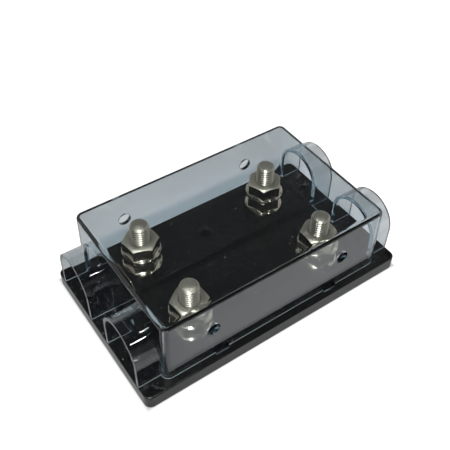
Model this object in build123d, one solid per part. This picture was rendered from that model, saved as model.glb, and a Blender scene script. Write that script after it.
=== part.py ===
from build123d import *
import os

# Two-lane fuse holder for bolt-down strip fuses: a moulded base, four M8 studs,
# a locking nut and a terminal nut on each stud, and a clear clip-on cover.
# Units are millimetres. X runs along the fuse lanes, Z is up, and the origin is
# at the middle of the base's underside.

# Fuse lanes
stud_spacing = 65.0
lane_spacing = 37.8

# Base moulding
end_flange = 10.1
side_flange = 3.2
flange_height = 6.5
base_corner_radius = 3.0
base_edge_radius = 0.7
skin = 2.4
rim = 2.0
rib = 1.8

# Raised platforms, one under each fuse lane
platform_rise = 2.7
valley_width = 12.8
platform_edge = 0.5
platform_fit = 0.35

# Cover moulding
stud_to_end_wall = 21.4
lane_to_side_wall = 16.1
end_draft = 0.7
side_draft = 0.15
cover_height = 31.9
cover_wall = 1.7
cover_corner_radius = 3.0
cover_edge_radius = 1.5
cover_inner_corner_radius = 1.3

# Cable tubes of the cover
tube_radius = 12.6
tube_wall = 1.5
tube_axis_rise = 11.3
tube_end_gap = 0.2

# Round holes in the long walls of the cover
wall_hole_radius = 2.9
wall_hole_spacing = 63.8
wall_hole_rise = 16.4

# Snap tongues of the cover and their slots
tongue_spacing = 55.4
tongue_width = 6.6
tongue_depth = 4.4
hook_reach = 0.7
hook_height = 1.6
slot_clearance = 0.35

# M8 studs and flange nuts
stud_radius = 4.0
stud_top = 32.7
stud_chamfer = 0.7
head_across_flats = 13.0
head_height = 5.3
head_recess = 0.6
pocket_clearance = 0.2
stud_hole_clearance = 0.1
nut_across_flats = 14.0
nut_height = 7.5
nut_bore_clearance = 0.05
nut_flange_radius = 8.5
nut_flange_edge = 1.2
nut_cone_rise = 1.0
nut_bore_chamfer = 0.5
stud_boss_wall = 2.6

# Screw holes in the base
lane_screw_radius = 2.25
lane_edge_break = 1.0
end_screw_radius = 2.1
end_edge_break = 0.6
end_screw_margin = 6.0
screw_boss_wall = 2.2

# Derived levels and places
platform_top = flange_height + platform_rise
cover_top_z = flange_height + cover_height
tube_axis_z = flange_height + tube_axis_rise
lock_nut_z = platform_top
terminal_nut_z = lock_nut_z + nut_height
head_top = head_recess + head_height
lane_y = lane_spacing / 2
stud_x = stud_spacing / 2
cover_foot_length = stud_spacing + 2 * stud_to_end_wall
cover_foot_width = lane_spacing + 2 * lane_to_side_wall
cover_top_length = cover_foot_length - 2 * end_draft
cover_top_width = cover_foot_width - 2 * side_draft
base_length = cover_foot_length + 2 * end_flange
base_width = cover_foot_width + 2 * side_flange
end_screw_x = base_length / 2 - end_screw_margin
inner_foot_length = cover_foot_length - 2 * cover_wall
inner_foot_width = cover_foot_width - 2 * cover_wall
tube_reach = base_length / 2 - tube_end_gap

# Each stud's place, and how far its lock nut and its terminal nut are turned, in degrees.
stud_places = {
    "front_left": (-stud_x, -lane_y, 35, 35),
    "front_right": (stud_x, -lane_y, 55, 28),
    "rear_left": (-stud_x, lane_y, 38, 38),
    "rear_right": (stud_x, lane_y, 50, 50),
}


def upright_box(length, width, low, high, x=0.0, y=0.0):
    body = Box(length, width, high - low, align=(Align.CENTER, Align.CENTER, Align.MIN))
    return Pos(x, y, low) * body


def rod(radius, low, high, x=0.0, y=0.0):
    body = Cylinder(radius, high - low, align=(Align.CENTER, Align.CENTER, Align.MIN))
    return Pos(x, y, low) * body


def hex_bar(across_flats, low, high, x=0.0, y=0.0):
    outline = RegularPolygon(across_flats / 2, 6, major_radius=False, rotation=30)
    return Pos(x, y, low) * extrude(outline, high - low)


def screw_hole(radius, edge_break, top, x, y):
    # A straight hole from below, opened at 45 degrees where it meets the upper face.
    mouth = Cone(radius, radius + edge_break, edge_break)
    return rod(radius, -1, top + 1, x, y) + Pos(x, y, top - edge_break / 2) * mouth


def arch_bar(radius, half_length, y):
    # Half-round top on straight legs, run along X; the legs stand on the flange.
    top = Pos(0, tube_axis_z) * Circle(radius)
    leg_height = tube_axis_z - flange_height
    legs = Pos(0, flange_height + leg_height / 2) * Rectangle(2 * radius, leg_height)
    below = Pos(0, flange_height - radius) * Rectangle(4 * radius, 2 * radius)
    outline = top + legs - below
    face = Plane(origin=(-half_length, y, 0), x_dir=(0, 1, 0), z_dir=(1, 0, 0)) * outline
    return extrude(face, 2 * half_length)


def drafted_box(foot_length, foot_width, top_length, top_width, low, high, corner):
    # Four leaning walls, rounded where they meet.
    foot = Pos(0, 0, low) * Rectangle(foot_length, foot_width)
    top = Pos(0, 0, high) * Rectangle(top_length, top_width)
    body = loft([foot, top], ruled=True)
    flat = body.edges().filter_by(Axis.X) + body.edges().filter_by(Axis.Y)
    upright = [edge for edge in body.edges() if edge not in flat]
    return fillet(upright, corner)


def make_base():
    # Flange plate with the two platforms on it.
    plate = extrude(RectangleRounded(base_length, base_width, base_corner_radius), flange_height)
    upper_rim = plate.faces().sort_by(Axis.Z)[-1].edges()
    plate = fillet(upper_rim, base_edge_radius)
    platform_length = inner_foot_length - 2 * platform_fit - cover_wall / 2
    platform_outer = inner_foot_width / 2 - platform_fit
    platform_width = platform_outer - valley_width / 2
    platform_y = (platform_outer + valley_width / 2) / 2
    body = plate
    for side in (-1, 1):
        outline = RectangleRounded(platform_length, platform_width, cover_inner_corner_radius)
        platform = Pos(0, side * platform_y, flange_height - 1) * extrude(outline, platform_rise + 1)
        edge = platform.faces().sort_by(Axis.Z)[-1].edges()
        body += fillet(edge, platform_edge)

    # Hollow underside: a shallow core under the flange and a deeper one under each platform.
    core = upright_box(base_length - 2 * rim, base_width - 2 * rim, -1, flange_height - skin)
    for side in (-1, 1):
        length = platform_length - 2 * skin
        width = platform_width - 2 * skin
        core += upright_box(length, width, -1, platform_top - skin, 0, side * platform_y)

    # Ribs and bosses are left standing in the core.
    reach = platform_top - skin / 2
    standing = upright_box(base_length, rib, 0, reach)
    for x in (-platform_length / 2, 0, platform_length / 2):
        standing += upright_box(rib, base_width, 0, reach, x)
    boss_radius = head_across_flats / 2 / 0.866 + stud_boss_wall
    for x, y, _, _ in stud_places.values():
        standing += rod(boss_radius, 0, reach, x, y)
    for side in (-1, 1):
        standing += rod(lane_screw_radius + screw_boss_wall, 0, reach, 0, side * lane_y)
        for x in (-end_screw_x, end_screw_x):
            standing += rod(end_screw_radius + screw_boss_wall, 0, reach, x, side * lane_y)
    body -= core - standing

    # Stud holes with a hexagon pocket for each stud's head.
    for x, y, _, _ in stud_places.values():
        pocket_flats = head_across_flats + 2 * pocket_clearance
        body -= rod(stud_radius + stud_hole_clearance, -1, platform_top + 1, x, y)
        body -= hex_bar(pocket_flats, -1, head_top, x, y)

    # Screw holes in the middle of each lane and at its ends, under the cable tubes.
    for side in (-1, 1):
        y = side * lane_y
        body -= screw_hole(lane_screw_radius, lane_edge_break, platform_top, 0, y)
        for x in (-end_screw_x, end_screw_x):
            body -= screw_hole(end_screw_radius, end_edge_break, flange_height, x, y)

    # Slots for the cover's snap tongues.
    slot_inner = inner_foot_width / 2 - slot_clearance
    slot_outer = cover_foot_width / 2 + hook_reach + slot_clearance
    for side in (-1, 1):
        for end in (-1, 1):
            x = end * tongue_spacing / 2
            y = side * (slot_inner + slot_outer) / 2
            length = tongue_width + 2 * slot_clearance
            body -= upright_box(length, slot_outer - slot_inner, -1, flange_height + 1, x, y)
    return body


def make_cover():
    # Drafted shell with softened upper edges.
    low = flange_height
    outer = drafted_box(cover_foot_length, cover_foot_width, cover_top_length, cover_top_width,
                        low, cover_top_z, cover_corner_radius)
    outer = fillet(outer.faces().sort_by(Axis.Z)[-1].edges(), cover_edge_radius)
    ceiling = cover_top_z - cover_wall
    shrink = 2 * cover_wall
    inner = drafted_box(cover_foot_length - shrink, cover_foot_width - shrink,
                        cover_top_length - shrink, cover_top_width - shrink,
                        low, ceiling, cover_inner_corner_radius)

    # Cable tubes run out from both end walls, one pair on each lane.
    shell = outer
    for side in (-1, 1):
        shell += arch_bar(tube_radius, tube_reach, side * lane_y)
    shell -= inner
    for side in (-1, 1):
        shell -= arch_bar(tube_radius - tube_wall, tube_reach + 1, side * lane_y)

    # Round holes through the long walls.
    for x in (-wall_hole_spacing / 2, wall_hole_spacing / 2):
        drill = Cylinder(wall_hole_radius, cover_foot_width + 2 * cover_wall)
        shell -= Pos(x, 0, flange_height + wall_hole_rise) * (Rot(90, 0, 0) * drill)

    # Snap tongues with a small wedge hook below the foot of each long wall.
    outer_y = cover_foot_width / 2
    inner_y = outer_y - cover_wall
    tip = flange_height - tongue_depth
    for side in (-1, 1):
        for end in (-1, 1):
            x = end * tongue_spacing / 2 - tongue_width / 2
            plane = Plane(origin=(x, 0, 0), x_dir=(0, side, 0), z_dir=(side, 0, 0))
            profile = Polyline(
                (inner_y, flange_height + 0.5),
                (inner_y, tip),
                (outer_y - hook_reach, tip),
                (outer_y + hook_reach, tip + hook_height),
                (outer_y, tip + hook_height + hook_reach / 2),
                (outer_y, flange_height),
                (outer_y - 0.3, flange_height + 0.5),
                close=True,
            )
            shell += extrude(plane * make_face(profile), side * tongue_width)
    return shell


def make_stud(x, y):
    # Hexagon head held in the base, and a plain shank up to the chamfered tip.
    head = hex_bar(head_across_flats, head_recess, head_top)
    shank = rod(stud_radius, head_recess + 1, stud_top)
    shank = chamfer(shank.faces().sort_by(Axis.Z)[-1].edges(), stud_chamfer)
    return Pos(x, y, 0) * (head + shank)


def make_flange_nut(x, y, z, turn):
    # Hexagon with corners turned down at 30 degrees, on a coned flange.
    flats = nut_across_flats / 2
    corner = flats / 0.866
    turned_top = flats * 0.94
    run = corner + 0.5 - turned_top
    drop = run * 0.577
    turning = Plane.XZ * make_face(Polyline(
        (0, 0), (corner + 0.5, 0), (corner + 0.5, nut_height - drop),
        (turned_top, nut_height), (0, nut_height), close=True))
    hexagon = hex_bar(nut_across_flats, 0, nut_height) & revolve(turning, Axis.Z)
    flange_profile = Plane.XZ * make_face(Polyline(
        (0, 0), (nut_flange_radius, 0), (nut_flange_radius, nut_flange_edge),
        (flats - 0.2, nut_flange_edge + nut_cone_rise),
        (0, nut_flange_edge + nut_cone_rise), close=True))
    body = hexagon + revolve(flange_profile, Axis.Z)
    bore = stud_radius + nut_bore_clearance
    body -= rod(bore, -1, nut_height + 1)
    mouth = Cone(bore, bore + nut_bore_chamfer, nut_bore_chamfer)
    body -= Pos(0, 0, nut_height - nut_bore_chamfer / 2) * mouth
    return Pos(x, y, z) * (Rot(0, 0, turn - 30) * body)


parts = {"base": make_base(), "cover": make_cover()}
for name, (x, y, lock_turn, terminal_turn) in stud_places.items():
    parts["stud_" + name] = make_stud(x, y)
    parts["lock_nut_" + name] = make_flange_nut(x, y, lock_nut_z, lock_turn)
    parts["terminal_nut_" + name] = make_flange_nut(x, y, terminal_nut_z, terminal_turn)

os.makedirs("parts", exist_ok=True)
for name, shape in parts.items():
    export_step(shape, f"parts/{name}.step")
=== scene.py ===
# %% [markdown]
# # A covered fuse holder
#
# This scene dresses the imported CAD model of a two-lane fuse holder: a black moulded base, four
# threaded studs with flange nuts, and a clear smoke cover. The CAD model gives every size, so
# each piece here takes its place from the frame and only adds what the solids leave plain.

# %% Load the frame
import math

import bmesh
import bpy
from mathutils import Matrix, Vector


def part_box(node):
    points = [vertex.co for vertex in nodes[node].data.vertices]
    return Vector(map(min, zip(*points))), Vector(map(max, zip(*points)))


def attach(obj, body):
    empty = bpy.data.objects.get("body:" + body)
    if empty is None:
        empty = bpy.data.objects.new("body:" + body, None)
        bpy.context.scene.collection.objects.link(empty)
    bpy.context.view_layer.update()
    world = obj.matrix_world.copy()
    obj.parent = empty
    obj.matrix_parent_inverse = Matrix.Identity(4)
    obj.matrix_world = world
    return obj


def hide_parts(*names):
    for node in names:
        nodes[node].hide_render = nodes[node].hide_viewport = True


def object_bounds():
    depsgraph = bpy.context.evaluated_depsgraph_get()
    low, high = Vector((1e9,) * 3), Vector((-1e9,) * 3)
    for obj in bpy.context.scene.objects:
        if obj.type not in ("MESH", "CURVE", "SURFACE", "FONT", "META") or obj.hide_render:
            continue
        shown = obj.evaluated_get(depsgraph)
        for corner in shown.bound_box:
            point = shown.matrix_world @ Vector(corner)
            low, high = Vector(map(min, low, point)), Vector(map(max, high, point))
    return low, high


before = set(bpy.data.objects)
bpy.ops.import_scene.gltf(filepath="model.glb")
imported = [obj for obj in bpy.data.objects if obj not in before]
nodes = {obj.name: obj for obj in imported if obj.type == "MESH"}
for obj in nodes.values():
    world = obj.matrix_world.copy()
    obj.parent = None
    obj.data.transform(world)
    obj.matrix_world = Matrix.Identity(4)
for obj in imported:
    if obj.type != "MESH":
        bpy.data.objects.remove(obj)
cad_low, cad_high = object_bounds()
MM = 0.001
PLACES = ("front_left", "front_right", "rear_left", "rear_right")
print("CAD box in mm:", [round(v / MM, 2) for v in cad_high - cad_low])


# %% [markdown]
# ## Camera
#
# The photograph looks down on the front left corner. A camera is a place, a direction and a
# lens: the direction is given here as an angle round the object and an angle above the table,
# with a small roll, because the camera was held slightly tilted. Angles were chosen over a
# ready-made matrix, since each of them can be read and turned by itself.

# %% Camera and lens
camera_data = bpy.data.cameras.new("camera")
camera = bpy.data.objects.new("camera", camera_data)
bpy.context.scene.collection.objects.link(camera)
bpy.context.scene.camera = camera
camera_data.sensor_width = 36.0
camera_data.lens = 54.57
camera_data.clip_start = 0.01
camera_data.clip_end = 20.0
print("width of the view in degrees:", round(math.degrees(camera_data.angle), 1))

# %% Place the camera
CAMERA_PLACE = Vector((-115.92, -156.90, 234.84)) * MM
TURN = math.radians(35.789)
HEIGHT_ANGLE = math.radians(46.325)
ROLL = math.radians(1.353)

back = Vector((
    -math.sin(TURN) * math.cos(HEIGHT_ANGLE),
    -math.cos(TURN) * math.cos(HEIGHT_ANGLE),
    math.sin(HEIGHT_ANGLE),
))
side = (-back).cross(Vector((0, 0, 1))).normalized()
up = side.cross(-back)
rolled_side = side * math.cos(ROLL) + up * math.sin(ROLL)
rolled_up = up * math.cos(ROLL) - side * math.sin(ROLL)
turned = Matrix((rolled_side, rolled_up, back)).transposed().to_4x4()
camera.matrix_world = Matrix.Translation(CAMERA_PLACE) @ turned
print("camera height above the table in mm:", round(CAMERA_PLACE.z / MM, 1))


# %% [markdown]
# ## Small helpers
#
# A shader is a graph of nodes. These short helpers make a node, feed its sockets with a value or
# with another node, and hand back the socket that comes out, so that the material cells below
# read as a recipe.

# %% Node helpers
def add_node(tree, kind, **settings):
    """A new node. A setting is one of its properties or, failing that, a socket's value."""
    node = tree.nodes.new(kind)
    for name, value in settings.items():
        if hasattr(node, name):
            setattr(node, name, value)
        else:
            node.inputs[name].default_value = value
    return node


def feed(tree, source, socket):
    """Feed a socket from another node's socket, or set it to a plain number or colour."""
    if isinstance(source, bpy.types.NodeSocket):
        tree.links.new(source, socket)
    else:
        socket.default_value = source


def feed_all(tree, node, sources):
    for name, source in sources.items():
        feed(tree, source, node.inputs[name])


# %% Arithmetic on sockets
def sum_up(tree, operation, *values, clamp=False):
    """The result of one arithmetic step, such as MULTIPLY, on sockets or numbers."""
    node = add_node(tree, "ShaderNodeMath", operation=operation, use_clamp=clamp)
    for value, socket in zip(values, node.inputs):
        feed(tree, value, socket)
    return node.outputs["Value"]


def stretch(tree, value, start, stop, low=0.0, high=1.0, kind="SMOOTHSTEP"):
    """Carry a value's range from start to stop over to the range from low to high."""
    node = add_node(tree, "ShaderNodeMapRange", interpolation_type=kind)
    feed_all(tree, node, {
        "Value": value, "From Min": start, "From Max": stop, "To Min": low, "To Max": high,
    })
    return node.outputs["Result"]


def mix(tree, kind, factor, first, second):
    """The first value where the factor is 0 and the second where it is 1."""
    node = add_node(tree, "ShaderNodeMix", data_type=kind)
    feed_all(tree, node, {"Factor": factor, "A": first, "B": second})
    return node.outputs["Result"]


def along(tree, kind, axis):
    """One coordinate, X, Y or Z, of the point that is being shaded."""
    coords = add_node(tree, "ShaderNodeTexCoord")
    axes = add_node(tree, "ShaderNodeSeparateXYZ")
    feed(tree, coords.outputs[kind], axes.inputs["Vector"])
    return axes.outputs[axis]


# %% Groups and materials
def new_group(name, inputs, outputs):
    """A node group whose sockets all carry one number; inputs gives their usual values."""
    tree = bpy.data.node_groups.new(name, "ShaderNodeTree")
    for label, value in inputs.items():
        socket = tree.interface.new_socket(label, in_out="INPUT", socket_type="NodeSocketFloat")
        socket.default_value = value
    for label in outputs:
        tree.interface.new_socket(label, in_out="OUTPUT", socket_type="NodeSocketFloat")
    print("node group:", name, "with", ", ".join(inputs), "as inputs")
    return tree, tree.nodes.new("NodeGroupInput"), tree.nodes.new("NodeGroupOutput")


def place_group(tree, group, **values):
    node = add_node(tree, "ShaderNodeGroup", node_tree=group)
    for label, value in values.items():
        node.inputs[label.replace("_", " ")].default_value = value
    return node


def new_material(name):
    material = bpy.data.materials.new(name)
    material.use_nodes = True
    tree = material.node_tree
    tree.nodes.clear()
    output = add_node(tree, "ShaderNodeOutputMaterial")
    shader = add_node(tree, "ShaderNodeBsdfPrincipled")
    feed(tree, shader.outputs["BSDF"], output.inputs["Surface"])
    print("material:", name)
    return material, tree, shader


# %% [markdown]
# ## Shared effects
#
# Moulded and plated parts are never quite even. Four effects are built once, as node groups with
# named inputs, and placed in each finish with its own values: a soft unevenness for roughness
# and colour, loose dust specks, hairline scratches, and a mask for the two ends of the part.
# Painted pictures would do the same, but these patterns need no unwrapping and no image.

# %% Unevenness group
uneven, start, end = new_group(
    "uneven finish", {"Size": 200.0, "Low": 0.2, "High": 0.3}, ["Value", "Height"],
)
coords = add_node(uneven, "ShaderNodeTexCoord")
cloud = add_node(uneven, "ShaderNodeTexNoise", Detail=4.0, Roughness=0.6)
feed_all(uneven, cloud, {"Vector": coords.outputs["Object"], "Scale": start.outputs["Size"]})
spread = stretch(
    uneven, cloud.outputs["Fac"], 0.3, 0.7,
    start.outputs["Low"], start.outputs["High"], kind="LINEAR",
)
feed_all(uneven, end, {"Value": spread, "Height": cloud.outputs["Fac"]})

# %% Dust group
# Each cell of the pattern may hold one speck, and the cell's random colour decides.
dust, start, end = new_group(
    "dust specks", {"Spacing": 140.0, "Speck size": 0.1, "Rarity": 0.8}, ["Mask"],
)
coords = add_node(dust, "ShaderNodeTexCoord")
cells = add_node(dust, "ShaderNodeTexVoronoi")
parts = add_node(dust, "ShaderNodeSeparateColor")
feed_all(dust, cells, {"Vector": coords.outputs["Object"], "Scale": start.outputs["Spacing"]})
feed(dust, cells.outputs["Color"], parts.inputs["Color"])
near = sum_up(dust, "LESS_THAN", cells.outputs["Distance"], start.outputs["Speck size"])
rare = sum_up(dust, "GREATER_THAN", parts.outputs["Red"], start.outputs["Rarity"])
feed(dust, sum_up(dust, "MULTIPLY", near, rare), end.inputs["Mask"])

# %% Scratch group
# The borders between the pattern's cells are thin lines. They are bent a little, and kept only
# in patches, so that they look like chance scratches and not like a net.
scratches, start, end = new_group(
    "hairline scratches", {"Spacing": 500.0, "Width": 0.03, "Amount": 0.5}, ["Mask"],
)
coords = add_node(scratches, "ShaderNodeTexCoord")
bend = add_node(scratches, "ShaderNodeTexNoise", Scale=180.0, Detail=2.0)
patches = add_node(scratches, "ShaderNodeTexNoise", Scale=320.0, Detail=3.0)
cracks = add_node(scratches, "ShaderNodeTexVoronoi", feature="DISTANCE_TO_EDGE")
for noise in (bend, patches):
    feed(scratches, coords.outputs["Object"], noise.inputs["Vector"])
bent = mix(scratches, "VECTOR", 0.012, coords.outputs["Object"], bend.outputs["Color"])
feed_all(scratches, cracks, {"Vector": bent, "Scale": start.outputs["Spacing"]})
thin = sum_up(scratches, "LESS_THAN", cracks.outputs["Distance"], start.outputs["Width"])
some = sum_up(scratches, "LESS_THAN", patches.outputs["Fac"], start.outputs["Amount"])
feed(scratches, sum_up(scratches, "MULTIPLY", thin, some), end.inputs["Mask"])

# %% End zone group
end_zone, start, end = new_group(
    "zone beyond a distance along X", {"From": 0.05, "To": 0.055}, ["Mask"],
)
either_end = sum_up(end_zone, "ABSOLUTE", along(end_zone, "Object", "X"))
beyond = stretch(end_zone, either_end, start.outputs["From"], start.outputs["To"])
feed(end_zone, beyond, end.inputs["Mask"])


# %% [markdown]
# ## Black moulded plastic
#
# The base is a glossy black thermoplastic. Its colour is nearly black, and almost all that one
# sees of it is reflection, so the roughness matters more than the colour. A few dust specks lie
# on it, and the end flanges, where cables are pushed in and out, are scratched pale.

# %% Base plastic
BLACK = (0.0022, 0.0022, 0.0023, 1)
DUST_COLOUR = (0.3, 0.25, 0.2, 1)
SCRATCH_COLOUR = (0.09, 0.094, 0.098, 1)

black_plastic, tree, shader = new_material("black moulded plastic")
grain = place_group(tree, uneven, Size=260.0, Low=0.16, High=0.26)
specks = place_group(tree, dust, Spacing=400.0, Speck_size=0.09, Rarity=0.85)
scratched = place_group(tree, scratches, Spacing=900.0, Width=0.022, Amount=0.4)
chips = place_group(tree, dust, Spacing=900.0, Speck_size=0.16, Rarity=0.72)
ends = place_group(tree, end_zone, From=0.05, To=0.056)
marks = sum_up(tree, "MAXIMUM", scratched.outputs["Mask"], chips.outputs["Mask"])
where = sum_up(tree, "MULTIPLY", marks, ends.outputs["Mask"])
dusty = mix(tree, "RGBA", specks.outputs["Mask"], BLACK, DUST_COLOUR)
bump = add_node(tree, "ShaderNodeBump", Strength=0.06, Distance=0.0002)
feed(tree, grain.outputs["Height"], bump.inputs["Height"])
feed_all(tree, shader, {
    "Base Color": mix(tree, "RGBA", where, dusty, SCRATCH_COLOUR),
    "Roughness": grain.outputs["Value"],
    "Normal": bump.outputs["Normal"],
    "IOR": 1.5,
})


# %% [markdown]
# ## Clear smoke plastic
#
# The cover is one clear moulding with a grey dye in it. A dye darkens with the length of the
# light's way through it, so it is made as absorption inside the solid: faces look pale, and
# edges, where one looks along the wall, look dark. A shadow ray is let through, so that the
# lamps light the studs inside. The cable tubes are a little cloudier than the flat walls.

# %% Cover plastic
CLEAR = (0.95, 0.96, 0.965, 1)
CLOUDY = (0.83, 0.84, 0.845, 1)
DYE = (0.855, 0.895, 0.915, 1)
SHADOW_TINT = (0.9, 0.92, 0.93, 1)

smoke_plastic, tree, shader = new_material("clear smoke plastic")
haze = place_group(tree, uneven, Size=70.0, Low=0.85, High=1.0)
tubes = place_group(tree, end_zone, From=0.0538, To=0.0544)
cloudy = sum_up(tree, "MULTIPLY", haze.outputs["Value"], tubes.outputs["Mask"])
feed_all(tree, shader, {
    "Base Color": mix(tree, "RGBA", cloudy, CLEAR, CLOUDY),
    "Transmission Weight": 1.0,
    "IOR": 1.56,
    "Roughness": 0.0,
})

# %% Shadow and dye of the cover
output = shader.outputs["BSDF"].links[0].to_node
ray = add_node(tree, "ShaderNodeLightPath")
through = add_node(tree, "ShaderNodeBsdfTransparent", Color=SHADOW_TINT)
either = add_node(tree, "ShaderNodeMixShader")
dye = add_node(tree, "ShaderNodeVolumeAbsorption", Color=DYE, Density=500.0)
feed(tree, ray.outputs["Is Shadow Ray"], either.inputs["Fac"])
feed(tree, shader.outputs["BSDF"], either.inputs[1])
feed(tree, through.outputs["BSDF"], either.inputs[2])
feed_all(tree, output, {"Surface": either.outputs["Shader"], "Volume": dye.outputs["Volume"]})
print("nodes in the cover's plastic:", len(tree.nodes))


# %% [markdown]
# ## Frosted foot with a painted highlight
#
# The underside of the cover's walls is a little frosted, and its outer lip carries a painted
# highlight, a thin pale line where the foot's edge catches light. It could be a piece of its
# own,
# but it is only a finish: the mesh says how near each point lies to that lip, and the material
# reads it.

# %% Foot of the cover
FOOT_DARK = (0.004, 0.0058, 0.0068, 1)
LIP_PAINTED_HIGHLIGHT = (0.27, 0.29, 0.29, 1)

foot_with_lip_highlight, tree, shader = new_material("frosted foot with painted lip highlight")
frost = place_group(tree, uneven, Size=600.0, Low=0.5, High=0.65)
# Painted highlight: a pale line on the foot's outer lip, read from the mesh.
lip = add_node(tree, "ShaderNodeAttribute", attribute_name="lip")
line = stretch(tree, lip.outputs["Fac"], 0.6, 0.8)
feed_all(tree, shader, {
    "Base Color": mix(tree, "RGBA", line, FOOT_DARK, LIP_PAINTED_HIGHLIGHT),
    "Roughness": frost.outputs["Value"],
    "Specular IOR Level": 0.1,
})


# %% [markdown]
# ## Nickel plate
#
# The studs and nuts are nickel plated steel, a warm grey metal. Drawn faces are smooth, cut ends
# and flat tops are matt, and threads lie between, so one function makes three finishes. Each one
# also gets its own brightness, as painted light and shade: the cut faces darkest, the threads
# lightest. A thin clear film on the plating gives the small sharp glints.

# %% Nickel finish
ROOT_PAINTED_SHADE = (0.03, 0.025, 0.02, 1)


def nickel_finish(name, roughness, painted_brightness):
    """A nickel finish whose colour is scaled up or down as painted light and shade. Hands back
    its colour too.
    """
    material, tree, shader = new_material(name)
    grain = place_group(tree, uneven, Size=900.0, Low=roughness - 0.03, High=roughness + 0.03)
    darker = (0.59 * painted_brightness, 0.53 * painted_brightness, 0.42 * painted_brightness, 1)
    lighter = (0.78 * painted_brightness, 0.7 * painted_brightness, 0.565 * painted_brightness, 1)
    colour = mix(tree, "RGBA", grain.outputs["Height"], darker, lighter)
    feed_all(tree, shader, {
        "Base Color": colour, "Metallic": 1.0, "Roughness": grain.outputs["Value"],
        "Coat Weight": 0.1, "Coat Roughness": 0.1, "Coat IOR": 1.5,
    })
    return material, tree, shader, colour


# %% Drawn and cut faces
# Painted light and shade: cut faces get a darker colour than drawn faces.
drawn_nickel = nickel_finish("nickel plate on drawn faces", 0.11, 0.62)[0]
cut_nickel = nickel_finish("nickel plate on cut faces", 0.46, 0.5)[0]

# %% Threads
# Painted shade darkens the thread's roots; the mesh says how deep each point lies. The die
# leaves fine lines round the thread, which draw each glint out along the stud.
thread_nickel, tree, shader, plate = nickel_finish("nickel plate on threads", 0.36, 0.8)
# Painted shade: the thread's roots are darkened by their depth.
groove = add_node(tree, "ShaderNodeAttribute", attribute_name="groove")
feed_all(tree, shader, {
    "Base Color": mix(tree, "RGBA", groove.outputs["Fac"], plate, ROOT_PAINTED_SHADE),
    "Anisotropic": 0.75,
    "Anisotropic Rotation": 0.25,
})


# %% [markdown]
# ## Base
#
# The base is a moulded plate with two raised platforms, its screw holes and the slots for the
# cover's tongues. The solid has all of that, so it keeps its CAD shape and gets its finish.

# %% Dress the base
base_mesh = nodes["base"].data
base_mesh.materials.clear()
base_mesh.materials.append(black_plastic)
print("base faces:", len(base_mesh.polygons))


# %% [markdown]
# ## Cover
#
# A clear wall that stands on a black plate never quite touches it. The thin film of air under
# the wall's foot mirrors light back up the wall, which draws a bright line along each foot. So
# the cover is a copy of its solid whose foot is lifted by that film, and whose upper edge is
# rounded a little more than the solid's, as the photograph shows it. A bevel modifier needs a
# sharp edge, and this one is round already, so the edge's own points are moved instead.

# %% Measures of the cover
FLANGE_TOP = 6.5 * MM
AIR_FILM = 0.12 * MM
CAD_EDGE = 1.5 * MM
SOFT_EDGE = 2.2 * MM
TOP_HALF = Vector((53.2, 34.85)) * MM
FOOT_HALF = Vector((53.9, 35.0)) * MM
COVER_CORNER = 3.0 * MM
LANE_Y = 18.9 * MM
TUBE_RADIUS = 12.6 * MM
print("the upper edge grows softer by", round((SOFT_EDGE - CAD_EDGE) / MM, 2), "mm")


# %% Depth inside the cover's outline
def depth_in_outline(half, x, y):
    """How far a point lies inside a rounded outline of the cover, and the way inward there."""
    core = half - Vector((COVER_CORNER, COVER_CORNER))
    out = Vector((max(abs(x) - core.x, 0.0), max(abs(y) - core.y, 0.0)))
    if out.length == 0:
        return COVER_CORNER, Vector((0.0, 0.0))
    way = Vector((-math.copysign(out.x, x), -math.copysign(out.y, y))).normalized()
    return COVER_CORNER - out.length, way


# %% Foot and edge of the cover
def lift_and_soften(mesh):
    top = max(vertex.co.z for vertex in mesh.vertices)
    for vertex in mesh.vertices:
        if abs(vertex.co.z - FLANGE_TOP) < 0.01 * MM:
            vertex.co.z += AIR_FILM
        below = top - vertex.co.z
        if below < CAD_EDGE + 0.02 * MM:
            away, inward = depth_in_outline(TOP_HALF, vertex.co.x, vertex.co.y)
            if away < CAD_EDGE + 0.05 * MM:
                vertex.co.z = top - below * SOFT_EDGE / CAD_EDGE
                vertex.co.xy += inward * away * (SOFT_EDGE / CAD_EDGE - 1)
    mesh.update()


# %% Painted highlight on the lip of the cover
LIP_HIGHLIGHT_WIDTH = 0.3 * MM


def frost_foot_and_paint_lip(mesh):
    foot = FLANGE_TOP + AIR_FILM
    # Where the painted highlight line lies: 1 on the foot's outer lip, 0 elsewhere.
    lip = mesh.attributes.new("lip", "FLOAT", "POINT")
    for vertex in mesh.vertices:
        x, y = vertex.co.xy
        if abs(x) > FOOT_HALF.x + 0.1 * MM:
            under_lip_highlight = abs(abs(y) - LANE_Y) > TUBE_RADIUS - LIP_HIGHLIGHT_WIDTH
        else:
            under_lip_highlight = depth_in_outline(FOOT_HALF, x, y)[0] < LIP_HIGHLIGHT_WIDTH
        lip.data[vertex.index].value = 1.0 if under_lip_highlight else 0.0
    for face in mesh.polygons:
        at_foot = abs(face.center.z - foot) < 0.02 * MM and face.normal.z < -0.9
        face.material_index = 1 if at_foot else 0


# %% Make the cover
def cover_piece():
    source = nodes["cover"]
    mesh = source.data.copy()
    mesh.transform(source.matrix_world)
    piece = bpy.data.objects.new("clear_cover", mesh)
    bpy.context.scene.collection.objects.link(piece)
    mesh.materials.clear()
    mesh.materials.append(smoke_plastic)
    mesh.materials.append(foot_with_lip_highlight)
    lift_and_soften(mesh)
    frost_foot_and_paint_lip(mesh)
    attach(piece, "cover")
    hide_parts("cover")
    return piece


clear_cover = cover_piece()
print("cover faces:", len(clear_cover.data.polygons))


# %% [markdown]
# ## Turned pieces
#
# A stud or a nut can be seen as rings stacked along its axis, where each point of a ring has its
# own radius. A screw thread is then a radius that rises and falls along a helix, and a hexagon
# is a radius that grows towards its six corners. A screw modifier could wind the thread too, but
# one way for both pieces keeps their seams and tips simple.

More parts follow.
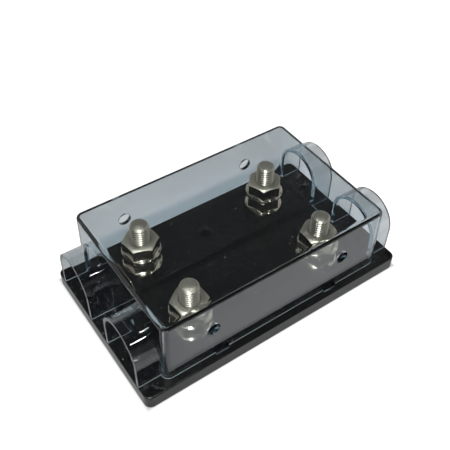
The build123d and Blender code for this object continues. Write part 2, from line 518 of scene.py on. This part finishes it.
# %% Ring stack helper
def ring_stack(name, centre, rows, steps, closed=False):
    """A piece from rows of (height, radius at an angle); closed joins the last to the first."""
    bm = bmesh.new()
    rings = []
    for height, radius_at in rows:
        ring = []
        for i in range(steps):
            angle = 2 * math.pi * i / steps
            r = radius_at(angle)
            across = centre[0] + r * math.cos(angle)
            deep = centre[1] + r * math.sin(angle)
            ring.append(bm.verts.new((across, deep, height)))
        rings.append(ring)
    pairs = list(zip(rings, rings[1:]))
    if closed:
        pairs.append((rings[-1], rings[0]))
    for low, high in pairs:
        for i in range(steps):
            j = (i + 1) % steps
            bm.faces.new((low[i], low[j], high[j], high[i]))
    if not closed:
        bm.faces.new(list(reversed(rings[0])))
        bm.faces.new(rings[-1])
    mesh = bpy.data.meshes.new(name)
    bm.to_mesh(mesh)
    bm.free()
    piece = bpy.data.objects.new(name, mesh)
    bpy.context.scene.collection.objects.link(piece)
    return piece


# %% Shading and soft corners
def smooth_by_angle(piece, degrees):
    """Shade smoothly, but keep the edges sharp that turn by more than an angle."""
    piece.data.shade_smooth()
    bm = bmesh.new()
    bm.from_mesh(piece.data)
    for edge in bm.edges:
        if len(edge.link_faces) == 2 and edge.calc_face_angle(0) > math.radians(degrees):
            edge.smooth = False
    bm.to_mesh(piece.data)
    bm.free()


def soft_min(a, b, width):
    """The smaller of two lengths, with a rounded change from one to the other."""
    gap = max(width - abs(a - b), 0.0) / width
    return min(a, b) - gap * gap * width / 4


def soft_max(a, b, width):
    return -soft_min(-a, -b, width)


# %% [markdown]
# ## Studs
#
# Each stud is an M8 bolt set from below: a hexagon head in the base and a thread with a pitch
# of 1.25 mm all the way up. The thread's ridge is a 60 degree V with a flat crest and root,
# wound as one helix, and it fades out at the chamfered tip. The solid is a plain cylinder at the
# crest's radius, so the thread is cut into that size and never stands outside it.

# %% Sizes of a stud
STUD_RADIUS = 4.0 * MM
HEAD_HEIGHT = 5.3 * MM
TIP_CHAMFER = 0.7 * MM
TIP_NARROWING = 0.75 * MM
PITCH = 1.25 * MM
THREAD_DEPTH = 0.72 * MM
CREST_FLAT = 0.1
STUD_STEPS = 72
ROWS_PER_TURN = 14
print("thread depth as a share of its pitch:", round(THREAD_DEPTH / PITCH, 3))


# %% Rows of a stud
def thread_at(height, head_top, tip):
    """The thread's radius round the stud at one height."""
    fade = min((tip - height) / TIP_CHAMFER, 1.0)
    limit = STUD_RADIUS - TIP_NARROWING * (1 - fade)

    def radius(angle):
        turn = ((height - head_top) / PITCH - angle / (2 * math.pi)) % 1.0
        ridge = abs(turn * 2 - 1)
        ridge = min(max((ridge - CREST_FLAT) / (1 - 2 * CREST_FLAT), 0.0), 1.0)
        return min(STUD_RADIUS - THREAD_DEPTH * (1 - ridge), limit)
    return radius


def stud_rows(low, high):
    head_top = low.z + HEAD_HEIGHT
    head_flats = (high.x - low.x) / 2
    tip = high.z

    def hexagon(angle):
        return head_flats / max(math.cos(angle - math.radians(60 * k)) for k in range(6))

    rows = [(low.z, hexagon), (head_top, hexagon)]
    count = int((tip - head_top) / PITCH * ROWS_PER_TURN)
    for i in range(count + 1):
        height = head_top + (tip - head_top) * i / count
        rows.append((height, thread_at(height, head_top, tip)))
    return rows


# %% Depth in the thread
def mark_grooves(mesh, centre, tip):
    """Note for each point how deep it lies in the thread, for the painted shade in the roots."""
    groove = mesh.attributes.new("groove", "FLOAT", "POINT")
    thread_end = tip - TIP_CHAMFER - 0.05 * MM
    for vertex in mesh.vertices:
        radius = math.hypot(vertex.co.x - centre[0], vertex.co.y - centre[1])
        sunk = min(max((STUD_RADIUS - radius) / THREAD_DEPTH * 1.6 - 0.3, 0.0), 1.0)
        groove.data[vertex.index].value = sunk if vertex.co.z < thread_end else 0.0


# %% Make the studs
def stud_piece(place):
    low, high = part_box("stud_" + place)
    centre = ((low.x + high.x) / 2, (low.y + high.y) / 2)
    piece = ring_stack("threaded_stud_" + place, centre, stud_rows(low, high), STUD_STEPS)
    smooth_by_angle(piece, 50)
    piece.data.materials.append(thread_nickel)
    piece.data.materials.append(cut_nickel)
    mark_grooves(piece.data, centre, high.z)
    for face in piece.data.polygons:
        on_tip = face.center.z > high.z - 0.01 * MM
        if on_tip or face.center.z < low.z + HEAD_HEIGHT:
            face.material_index = 1
    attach(piece, "base")
    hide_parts("stud_" + place)
    return piece


studs = [stud_piece(place) for place in PLACES]
print("stud faces:", len(studs[0].data.polygons))


# %% [markdown]
# ## Flange nuts
#
# A flange nut is a hexagon that grows out of a cone and a thin round flange. Its top corners are
# turned down at 30 degrees, which leaves the curved line on each flat that one knows from any
# nut. The lower nut of each stud locks it to the base and the upper one clamps the terminal.
# Cutting a hexagon with a cone would leave hard seams, so the radii are blended instead.

# %% Sizes of a nut
HALF_FLATS = 7.0 * MM
NUT_HEIGHT = 7.5 * MM
CORNER_ROUND = 0.25 * MM
TURNED_SHARE = 0.94
TURNED_ANGLE = math.radians(30)
TURNED_BLEND = 0.3 * MM
FLANGE_EDGE = 1.2 * MM
FLANGE_ROUND = 0.3 * MM
CONE_SLOPE = 1.75
CONE_BLEND = 0.5 * MM
BORE = 4.05 * MM
BORE_MOUTH = 0.5 * MM
NUT_STEPS = 144
print("nut across its flats in mm:", round(2 * HALF_FLATS / MM, 1))

# %% Turn of each nut
# Where one corner of each nut points, in degrees from +X, as the photograph shows it.
CORNER_TURNS = {
    "lock_nut_front_left": 35.0, "terminal_nut_front_left": 35.0,
    "lock_nut_front_right": 55.0, "terminal_nut_front_right": 28.0,
    "lock_nut_rear_left": 38.0, "terminal_nut_rear_left": 38.0,
    "lock_nut_rear_right": 50.0, "terminal_nut_rear_right": 50.0,
}
print("nuts:", len(CORNER_TURNS))


# %% Outline of a nut
def nut_outline(foot, flange, first_corner):
    """A function that gives the outer radius at a height and an angle, from the nut's foot."""
    def hexagon(angle):
        local = (angle - first_corner) % math.radians(60) - math.radians(30)
        near_flat = HALF_FLATS / math.cos(local)
        next_flat = HALF_FLATS / math.cos(math.radians(60) - abs(local))
        return soft_min(near_flat, next_flat, CORNER_ROUND)

    def outer(height):
        z = height - foot
        turned = HALF_FLATS * TURNED_SHARE + (NUT_HEIGHT - z) / math.tan(TURNED_ANGLE)
        if z < FLANGE_EDGE:
            skirt = flange - FLANGE_ROUND * max(0.0, 1 - z / FLANGE_ROUND) ** 2
        else:
            skirt = flange - (z - FLANGE_EDGE) * CONE_SLOPE

        def radius(angle):
            body_radius = soft_min(hexagon(angle), turned, TURNED_BLEND)
            return min(soft_max(body_radius, skirt, CONE_BLEND), flange)
        return radius
    return outer


# %% Rows of a nut
def nut_rows(foot, outer):
    """Rows up the outside, close together where it curves, and down again through the bore."""
    heights = [0, 0.1, 0.2, 0.3, 0.7, 1.0, 1.15, 1.2]
    heights += [1.2 + 0.12 * k for k in range(1, 14)]
    heights += [3.2, 3.8, 4.4, 5.0]
    heights += [5.2 + 0.1 * k for k in range(0, 24)]
    rows = [(foot + h * MM, outer(foot + h * MM)) for h in heights]
    top = foot + NUT_HEIGHT
    rows.append((top, lambda angle: BORE + BORE_MOUTH))
    rows.append((top - BORE_MOUTH, lambda angle: BORE))
    rows.append((foot + BORE_MOUTH, lambda angle: BORE))
    rows.append((foot, lambda angle: BORE + BORE_MOUTH))
    return rows


# %% Make the nuts
def nut_piece(kind, place, body):
    low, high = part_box(kind + place)
    centre = ((low.x + high.x) / 2, (low.y + high.y) / 2)
    first_corner = math.radians(CORNER_TURNS[kind + place])
    outer = nut_outline(low.z, (high.x - low.x) / 2, first_corner)
    rows = nut_rows(low.z, outer)
    piece = ring_stack("flanged_" + kind + place, centre, rows, NUT_STEPS, closed=True)
    smooth_by_angle(piece, 35)
    piece.data.materials.append(drawn_nickel)
    piece.data.materials.append(cut_nickel)
    for face in piece.data.polygons:
        if face.center.z > low.z + 5.0 * MM and face.normal.z > 0.4:
            face.material_index = 1
    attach(piece, body)
    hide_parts(kind + place)
    return piece


for place in PLACES:
    lock_nut = nut_piece("lock_nut_", place, "base")
    terminal_nut = nut_piece("terminal_nut_", place, "terminal_nut_" + place)
    print(place, "nut faces:", len(lock_nut.data.polygons), len(terminal_nut.data.polygons))


# %% [markdown]
# ## Floor
#
# The floor is a pale sheet that fills the view. What the camera, a mirror or the clear cover
# sees of it is lifted to white, and the object's shadow still shows on it. More light would
# whiten it too, but that would bleach the object, so the lift is in the paper alone.

# %% Floor sheet
floor_mesh = bpy.data.meshes.new("floor")
floor_mesh.from_pydata([(-3, -3, 0), (3, -3, 0), (3, 3, 0), (-3, 3, 0)], [], [(0, 1, 2, 3)])
floor = bpy.data.objects.new("floor", floor_mesh)
bpy.context.scene.collection.objects.link(floor)
floor.location.z = cad_low.z
print("floor height in mm:", round(floor.location.z / MM, 2))

# %% Lift of the paper
LIFT_STRAIGHT = 0.7
LIFT_MIRRORED = 0.145

floor_paper, tree, shader = new_material("floor paper")
ray = add_node(tree, "ShaderNodeLightPath")
by_camera, by_mirror, by_glass = (
    ray.outputs[name] for name in ("Is Camera Ray", "Is Glossy Ray", "Is Transmission Ray")
)
seen = sum_up(tree, "ADD", by_mirror, by_glass, clamp=True)
seen_at_all = sum_up(tree, "ADD", seen, by_camera, clamp=True)
straight = sum_up(tree, "MULTIPLY", by_camera, LIFT_STRAIGHT)
mirrored = sum_up(tree, "MULTIPLY", seen_at_all, LIFT_MIRRORED)

# Painted shadow: the paper's lift is dimmer to the left of the object, as its mirror images
# show.
painted_shadow_left = stretch(tree, along(tree, "Object", "X"), -0.075, -0.015)
lift = sum_up(tree, "ADD", straight, sum_up(tree, "MULTIPLY", mirrored, painted_shadow_left))

# %% Shadow under the object
# The lift fades out at the object's footprint, so that its contact shadow stays.
outside = []
for axis, half in (("X", cad_high.x), ("Y", cad_high.y)):
    distance = sum_up(tree, "ABSOLUTE", along(tree, "Object", axis))
    outside.append(stretch(tree, distance, half - 1.0 * MM, half + 2.0 * MM))
clear = sum_up(tree, "MAXIMUM", outside[0], outside[1])
feed_all(tree, shader, {
    "Base Color": (0.42, 0.42, 0.42, 1),
    "Roughness": 0.9,
    "Specular IOR Level": 0.0,
    "Emission Color": (1, 1, 1, 1),
    "Emission Strength": sum_up(tree, "MULTIPLY", lift, clear),
})
floor_mesh.materials.append(floor_paper)
print("nodes in the floor paper:", len(tree.nodes))


# %% [markdown]
# ## World
#
# Glossy black plastic and nickel show the room around them. A picture of a room could stand
# there, but a simple one is enough: a pale wall near the horizon, a dim ceiling above, and less
# light in front of the object, behind the camera. The camera itself sees plain white.

# %% Room light
WALL_LIGHT = 0.75
CEILING_LIGHT = 0.065

world = bpy.data.worlds.new("studio")
bpy.context.scene.world = world
world.use_nodes = True
tree = world.node_tree
tree.nodes.clear()
output = add_node(tree, "ShaderNodeOutputWorld")
height = along(tree, "Generated", "Z")
wall = stretch(tree, height, 0.35, 0.62, WALL_LIGHT, CEILING_LIGHT)
room = stretch(tree, along(tree, "Generated", "Y"), -0.75, -0.2, 0.2, 1.0)
bright = sum_up(tree, "MULTIPLY", wall, room)
ray = add_node(tree, "ShaderNodeLightPath")
backdrop = add_node(tree, "ShaderNodeBackground", Color=(1, 1, 1, 1))
shown = mix(tree, "FLOAT", ray.outputs["Is Camera Ray"], bright, 1.0)
feed(tree, shown, backdrop.inputs["Strength"])
feed(tree, backdrop.outputs["Background"], output.inputs["Surface"])
print("room light from", CEILING_LIGHT, "to", WALL_LIGHT)


# %% [markdown]
# ## Lamps
#
# The photograph has the small hard glints of a flash and the soft sheen of a lit room, so a
# small bright lamp stands near the camera and two large dim ones fill in from the sides. The
# flash also comes back mirrored by the cover's end wall. Two dim strips stand where those mirror
# images would be, so that their streaks on the cable tubes stay free of noise.

# %% Lamp helper
def area_lamp(name, place, size, power, aim=(0, 0, 0.015), height=None):
    """A round lamp, or a strip when height is given, that looks at its aim."""
    data = bpy.data.lights.new(name, "AREA")
    data.shape = "RECTANGLE" if height else "DISK"
    data.size = size
    if height:
        data.size_y = height
    data.energy = power
    lamp = bpy.data.objects.new(name, data)
    bpy.context.scene.collection.objects.link(lamp)
    # The lamp's width lies along X as nearly as its aim allows.
    away = (Vector(place) - Vector(aim)).normalized()
    tall = away.cross(Vector((1, 0, 0))).normalized()
    wide = tall.cross(away)
    turned = Matrix((wide, tall, away)).transposed().to_4x4()
    lamp.matrix_world = Matrix.Translation(Vector(place)) @ turned
    print("lamp:", name, "with", power, "W")


# %% Lamps round the object
area_lamp("flash", (-0.18, -0.196, 0.56), 0.05, 4.0)
area_lamp("softbox", (-0.55, -0.25, 0.75), 0.5, 0.8)
area_lamp("fill", (0.7, -0.3, 0.5), 0.6, 0.8)
area_lamp(
    "upper streak", (0.236, -0.425, 1.117), 0.03, 0.22,
    aim=(-0.055, -0.006, 0.029), height=0.065,
)
area_lamp(
    "lower streak", (0.209, -0.800, 0.889), 0.038, 0.33,
    aim=(-0.0585, -0.008, 0.0275), height=0.075,
)

# %% Plain view of the colours
scene = bpy.context.scene
scene.view_settings.view_transform = "Standard"
print("colours are shown by the", scene.view_settings.view_transform, "view")
